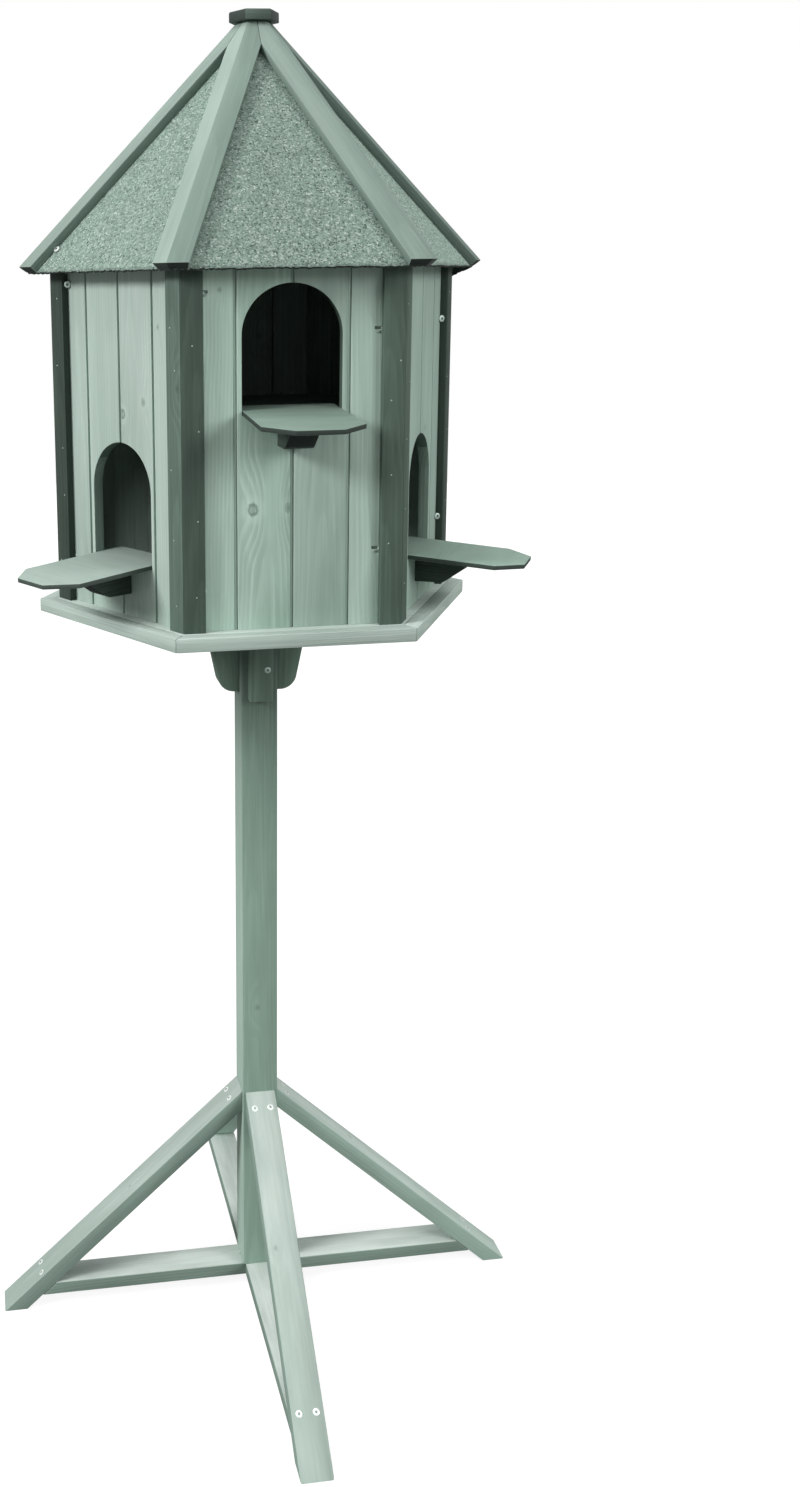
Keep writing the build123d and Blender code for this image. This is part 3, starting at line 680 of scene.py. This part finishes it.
def make_walls():
    """Each wall as four matchboards, with a sunk tongue at each joint and the joint closed behind it."""
    low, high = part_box("wall_front")
    face, half, span = -low.y, high.x + 0.01, (low.z - 0.01, high.z + 0.01)
    inside, mitred_end = face - 0.010, 0.126
    joints = [BOARD_PITCH * n for n in (-1, 0, 1)]
    edges = [-half] + joints + [half]
    boards = [((left + right) / 2, right - left - JOINT_WIDTH) for left, right in zip(edges, edges[1:])]
    tongues = [(s, TONGUE_WIDTH) for s in joints]
    grooves = [(s, JOINT_WIDTH + 2 * TOUCH) for s in joints]
    knots = [(outward(SIDES[side]) * face + along_side(SIDES[side]) * s + Vector((0, 0, z)), size)
             for side, s, z, size in WALL_KNOTS]
    cuts = {"front": ("quarter", "flat", "flat", "rift"),
            "front_right": ("quarter", "rift", "rift", "quarter")}
    coats = {"front": (0.32, 0.06, -0.10, 0.06), "front_left": (-0.03, 0.09, -0.01, -0.05),
             "front_right": (0.0, 0.02, 0.02, -0.04)}
    for number, (side, turn) in enumerate(SIDES.items()):
        layers = [wall_layer(side, "boards", boards, face + 0.05, *span),
                  wall_layer(side, "tongues", tongues, face - TONGUE_DROP, *span),
                  wall_layer(side, "grooves", grooves, face - GROOVE_DROP, *span)]
        notches = [block("notch", outward(turn) * face + along_side(turn) * s
                         + Vector((0, 0, z + NOTCH_RISE)), NOTCH, turn)
                   for s, z in SKEW_SCREWS.get(side, ())]
        if notches:
            cutter = join(notches, "notch_cutter")
            finish_with(layers[0], "BOOLEAN", operation="DIFFERENCE", object=cutter, solver="EXACT")
            bpy.data.objects.remove(cutter)
        wall = join(layers, side + "_matchboards")
        merge_faces(wall)
        ease(wall, 0.0008)
        for hand in (30, -30):
            close_mitre(wall, along_side(turn + hand))
        lay_grain(wall, 40 + number, knots=knots, knot_chance=0.15,
                  cuts=cuts.get(side, ("flat", "rift", "flat", "quarter")),
                  coats=coats.get(side, (0.0, -0.04, 0.03, 0.0)))
        # The inside of the back wall, seen through the front hole, takes the paler edging finish: painted
        # light inside the house.
        coat(wall, wall_pine, edging_pine if side == "back" else inner_pine,
             trim_pine if side == "front" else sawn_pine)
        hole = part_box("perch_" + side)[0].z if side in HOLE_SIDES else None
        for f in wall.data.polygons:
            s, faces_out = f.center.dot(along_side(turn)), f.normal.dot(outward(turn))
            in_hole = hole and abs(s) < HOLE_HALF_WIDTH and hole < f.center.z < hole + HOLE_HEIGHT
            if faces_out < 0.3 and (f.center.dot(outward(turn)) < inside or abs(s) > mitred_end):
                f.material_index = 1
            if in_hole and abs(faces_out) < 0.3:
                f.material_index = 2
        hand_in(wall, "wall_boards", "wall_" + side)


def make_trims():
    """The twelve corner strips; the one on the left of the left front corner took less stain."""
    coats = {"left_front": (-0.32, -0.16), "left": (-0.45, -0.35),
             "right": (-0.40, -0.30), "right_front": (0.05, 0.13)}
    for number, corner in enumerate(CORNERS):
        strips = work_timber("corner_trim_" + corner, trim_pine, "dark_trim", 70 + number, radius=0.0012,
                             knot_chance=0.3, coats=coats.get(corner, (0.0, 0.03)))
        close_mitre(strips, along_side(CORNERS[corner] + 30))
        if corner == "left_front":
            strips.data.materials.append(thin_coat_pine)
            for f in strips.data.polygons:
                if f.center.dot(along_side(330)) < 0:
                    f.material_index = 1


def make_rest_of_house():
    """The floors, landing boards, brackets, roof boards, battens and cap."""
    work_timber("floor_board", edging_pine, "inner_boards", 21, along=(1, 0, 0))
    work_timber("floor_edging", edging_pine, "pale_edging", 22, radius=0.0009, knot_chance=0.3)
    work_timber("upper_floor", edging_pine, "inner_boards", 23, along=(1, 0, 0))
    work_timber("roof_boards", soffit_pine, "inner_boards", 24)
    finishes = zip(HOLE_SIDES, (landing_pine, landing_pine, pale_landing_pine), (-0.09, 0.26, -0.10))
    for number, (side, pine, lighter) in enumerate(finishes):
        work_timber("perch_" + side, pine, "landing_board", 30 + number, radius=0.0007,
                    knot_chance=0.0, along=tuple(along_side(SIDES[side])), thin_edges=True,
                    coats=(lighter,))
    # The brackets are painted darker still: painted shade under the landing boards.
    work_timber("perch_brackets", trim_pine, "dark_trim", 37, radius=0.0012, knot_chance=0.0,
                coats=(-0.55,))
    coats = {"left_front": (0.06, -0.05), "right_front": (-0.09, 0.0),
             "left": (-0.17, -0.15), "right": (-0.35, -0.30)}
    for number, (corner, turn) in enumerate(CORNERS.items()):
        work_timber("hip_batten_" + corner, batten_pine, "roof_batten", 50 + number, radius=0.0012,
                    knot_chance=0.2, keep_sharp=along_side(turn + 30),
                    coats=coats.get(corner, (-0.05, 0.0)))
    work_timber("cap", cap_pine, "dark_trim", 60, radius=0.0012, knot_chance=0.0, along=(1, 0, 0))


def make_stand():
    """The post, its legs and ties, and the socket under the floor."""
    post = work_timber("post", post_pine, "post_timber", 1, radius=0.0020, knot_chance=1.0,
                       coats=(0.07,))
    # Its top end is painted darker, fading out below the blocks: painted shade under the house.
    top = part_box("post")[1].z
    drops, shades = zip((0.140, -0.66), (0.185, -0.50), (0.230, -0.30),
                        (0.275, -0.18), (0.320, -0.09), (0.400, 0.0))
    take(post)
    bpy.ops.object.mode_set(mode="EDIT")
    for drop in drops:
        bpy.ops.mesh.select_all(action="SELECT")
        bpy.ops.mesh.bisect(plane_co=(0, 0, top - drop), plane_no=(0, 0, 1))
    bpy.ops.object.mode_set(mode="OBJECT")
    for v, shade_here in zip(post.data.vertices, post.data.attributes["stain_off"].data):
        shade_here.value += np.interp(top - v.co.z, drops, shades)
    # The back leg is painted much lighter: painted light from the floor on its underside, which faces the
    # camera.
    for number, (side, lighter) in enumerate(zip(STAND_SIDES, (0.06, 0.36, 0.54, -0.20))):
        work_timber("leg_" + side, stand_pine if side == "front" else pale_stand_pine, "stand_timber",
                    2 + number, radius=0.0018, knot_chance=0.7, coats=(lighter,))
    for number, node in enumerate(("tie_front_back", "tie_left_right")):
        work_timber(node, tie_pine, "stand_timber", 7 + number, radius=0.0014, knot_chance=1.0,
                    coats=(0.10,))
    work_timber("socket_cheeks", trim_pine, "post_timber", 9, radius=0.0016, knot_chance=0.0,
                coats=(0.60,))
    work_timber("socket_blocks", trim_pine, "post_timber", 10, radius=0.0014, knot_chance=0.0,
                coats=(0.50,))


# ---- roofing felt ------------------------------------------------------------------------------
def make_felt():
    """The felt sheets, their cut edge at the eave frayed, one lip loose behind the right corner."""
    piece = copy_of("roof_felt", "roofing_felt_sheets")
    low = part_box("roof_felt")[0]
    above_edge, half_eave = low.z + 0.004, -low.y * math.tan(math.radians(30))
    lip_sag, lip_length = 0.028, 0.230
    take(piece)
    mesh = piece.data
    bpy.ops.object.mode_set(mode="EDIT")
    bpy.ops.mesh.select_mode(type="EDGE")
    bpy.ops.mesh.select_all(action="SELECT")
    bpy.ops.mesh.bisect(plane_co=(0, 0, low.z + 0.014), plane_no=(0, 0, 1))
    bpy.ops.mesh.select_all(action="DESELECT")
    bpy.ops.object.mode_set(mode="OBJECT")
    for edge in mesh.edges:
        a, b = (mesh.vertices[n].co for n in edge.vertices)
        edge.select = max(a.z, b.z) < above_edge and (a - b).length > half_eave
    bpy.ops.object.mode_set(mode="EDIT")
    bpy.ops.mesh.subdivide(number_cuts=110)
    bpy.ops.object.mode_set(mode="OBJECT")

    coat(piece, felt, felt_back)
    # Painted light: how much lighter or darker each sheet is painted, by the way it faces.
    sheet_lights = {"front": 0.90, "front_right": 1.28, "back_right": 1.05,
             "back": 0.95, "back_left": 1.0, "front_left": 1.06}
    sheet_lights = {SIDES[side]: tone for side, tone in sheet_lights.items()}
    painted_sheet_light = mesh.attributes.new("painted_sheet_light", "FLOAT", "FACE")
    for f in mesh.polygons:
        f.use_smooth = False
        f.material_index = int(f.normal.z < 0.3)
        faces = round(math.degrees(math.atan2(f.center.x, -f.center.y)) / 60) * 60 % 360
        painted_sheet_light.data[f.index].value = sheet_lights[faces]

    rng = random.Random(8)
    frayed = {}
    for v in mesh.vertices:
        if v.co.z > above_edge:
            continue
        turn = round(math.degrees(math.atan2(v.co.x, -v.co.y)) / 60) * 60
        s = v.co.dot(along_side(turn))
        column = (turn, round(s / 0.0012))
        if column not in frayed:
            frayed[column] = rng.uniform(-0.0014, 0.0006) + 0.0003 * math.sin(s * 70 + turn)
        down_slope = outward(turn) * 0.64 + Vector((0, 0, -0.77))
        v.co += down_slope * frayed[column]
        if turn == SIDES["back_right"]:
            sag = lip_sag * math.sin(math.pi * min(1.0, max(0.0, (s + half_eave) / lip_length)))
            v.co -= outward(turn) * (sag * 0.30) + Vector((0, 0, sag))
    hand_in(piece, "roofing_felt", "roof_felt")


# ---- screws and pins ---------------------------------------------------------------------------
def turn_head(name, sides, radius, depth, middle):
    """A short round bar, in edit mode with its top face selected, to shape a screw or pin head from."""
    bpy.ops.mesh.primitive_cylinder_add(vertices=sides, radius=radius, depth=depth, location=(0, 0, middle))
    head = bpy.context.view_layer.objects.active
    head.name = name
    settle(head)
    bpy.ops.object.mode_set(mode="EDIT")
    bpy.ops.mesh.select_mode(type="FACE")
    bpy.ops.mesh.select_all(action="DESELECT")
    bpy.ops.object.mode_set(mode="OBJECT")
    for f in head.data.polygons:
        f.select = f.normal.z > 0.9
    bpy.ops.object.mode_set(mode="EDIT")
    return head


def shape_screw(plate):
    """A countersunk screw head with a six-lobed recess, its middle at the origin, turned up."""
    head = turn_head("screw_head", 24, SCREW_HEAD, 0.0020, -0.0005)
    # A sloping rim, and then the round that becomes the recess.
    bpy.ops.mesh.inset(thickness=0.0007, depth=0)
    bpy.ops.transform.translate(value=(0, 0, 0.0003))
    bpy.ops.mesh.inset(thickness=0.0019, depth=0)
    bpy.ops.object.mode_set(mode="OBJECT")
    # Its six lobes: of each four points, two are drawn in.
    for v in head.data.vertices:
        beam = round(math.degrees(math.atan2(v.co.y, v.co.x)) / 15) % 4
        if v.select and beam in (1, 2):
            v.co.x, v.co.y = v.co.x * 0.76, v.co.y * 0.76
    bpy.ops.object.mode_set(mode="EDIT")
    bpy.ops.mesh.extrude_region_move(TRANSFORM_OT_translate={"value": (0, 0, -0.0012)})
    bpy.ops.transform.resize(value=(0.85, 0.85, 1.0))
    bpy.ops.object.mode_set(mode="OBJECT")
    coat(head, plate, recess)
    for f in head.data.polygons:
        if f.center.xy.length < SCREW_HEAD * 0.50 and -0.5 < f.normal.z and f.center.z < 0.0007:
            f.material_index = 1
    bpy.ops.object.shade_smooth_by_angle(angle=math.radians(35))
    return head


def shape_pin():
    """The head of a panel pin, slightly domed."""
    head = turn_head("pin_head", 10, PIN_HEAD, 0.0008, 0)
    bpy.ops.mesh.inset(thickness=0.0004, depth=0.0002)
    bpy.ops.object.mode_set(mode="OBJECT")
    coat(head, dull_zinc)
    bpy.ops.object.shade_smooth_by_angle(angle=math.radians(50))
    return head


def drive(head, name, places):
    """Copies of a screw or pin head at their places, each turned its own way, as one piece."""
    rng = random.Random(name)
    driven = []
    for spot, normal in places:
        copy = bpy.data.objects.new(name, head.data.copy())
        bpy.context.scene.collection.objects.link(copy)
        turn = normal.to_track_quat("Z", "Y").to_matrix().to_4x4()
        spin = Matrix.Rotation(rng.uniform(0, math.pi / 3), 4, "Z")
        copy.data.transform(Matrix.Translation(spot) @ turn @ spin)
        driven.append(copy)
    hand_in(join(driven, name), "fixings")


def make_fixings():
    """Screws in the legs, the socket, the walls and the felt, and the pins of the corner strips."""
    screw, dull_screw, pin = shape_screw(zinc), shape_screw(dull_zinc), shape_pin()
    up = Vector((0, 0, 1))
    # Each leg has two screws at its head into the post, and two at its foot into the tie, all
    # driven into its upper face, which looks out and up by about as much.
    head_z, foot_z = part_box("leg_front")[1].z - 0.017, 0.054
    places = [on_face("leg_" + side, outward(turn) * 0.672 + up * 0.741, s, z)
              for side, turn in STAND_SIDES.items() for z in (head_z, foot_z) for s in (-0.012, 0.012)]
    drive(screw, "leg_screws", places)
    block_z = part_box("socket_blocks")[0].z + 0.047
    drive(dull_screw, "socket_screws", [on_face("socket_blocks", outward(0), 0.009, block_z),
                                        on_face("socket_blocks", outward(180), 0.004, block_z)])
    # The walls are screwed through beside the corner strips. Some screws went in askew, into a
    # notch; the strips half hide some; and some stand proud and lean against a strip's edge.
    half_hidden = {"front": ((-0.1150, 1.179),), "front_right": ((-0.1122, 1.530), (-0.1122, 1.190)),
                   "front_left": ((-0.1127, 1.190),)}
    proud = {"front_right": ((0.1097, 1.510), (0.1097, 1.229)), "front_left": ((-0.1097, 1.5657),)}
    kinds = ((SKEW_SCREWS, 3.2, 0.0, -0.0028), (half_hidden, 0.0, 0.0, 0.0), (proud, 0.0, 0.88, 0.0033))
    places = []
    for side, turn in SIDES.items():
        for kind, lean_up, lean_in, lift in kinds:
            for s, z in kind.get(side, ()):
                spot, normal = on_face("wall_" + side, outward(turn), s, z)
                lean = normal + up * lean_up - along_side(turn) * math.copysign(lean_in, s)
                places.append((spot + normal * lift, lean.normalized()))
    drive(dull_screw, "wall_screws", places)
    # One fixing with a bright round head holds the left front sheet of felt near its hip.
    spot, normal = on_face("roof_felt", outward(300) * 0.77 + up * 0.64, -0.1163, 1.6110)
    drive(screw, "felt_nail", [(spot + normal * 0.0025, normal)])
    # Pins about 90 mm apart down every corner strip. Those of the front wall have given places.
    chosen = {("front", 1): ((0.1355, 1.4665), (0.1241, 1.4171), (0.1256, 1.3230), (0.1234, 1.2349)),
              ("front", -1): ((-0.1204, 1.3849), (-0.1225, 1.2722), (-0.1275, 1.4900), (-0.1250, 1.1750))}
    rng = random.Random(5)
    places = []
    for side, turn in SIDES.items():
        for hand in (-1, 1):
            corner = next(c for c, t in CORNERS.items() if t == (turn if hand > 0 else (turn - 60) % 360))
            spots = chosen.get((side, hand)) or [
                (hand * rng.uniform(0.120, 0.136), 1.17 + 0.09 * n + rng.uniform(-0.02, 0.02))
                for n in range(5)]
            for s, z in spots:
                middle, normal = on_face("corner_trim_" + corner, outward(turn), 0.0, z)
                places.append((middle + along_side(turn) * (s - middle.dot(along_side(turn))), normal))
    drive(pin, "trim_pins", places)
    for head in (screw, dull_screw, pin):
        bpy.data.objects.remove(head)


set_camera()
set_studio()
make_stand()
make_rest_of_house()
make_walls()
make_trims()
make_felt()
make_fixings()

bpy.context.scene.view_settings.view_transform = "Standard"
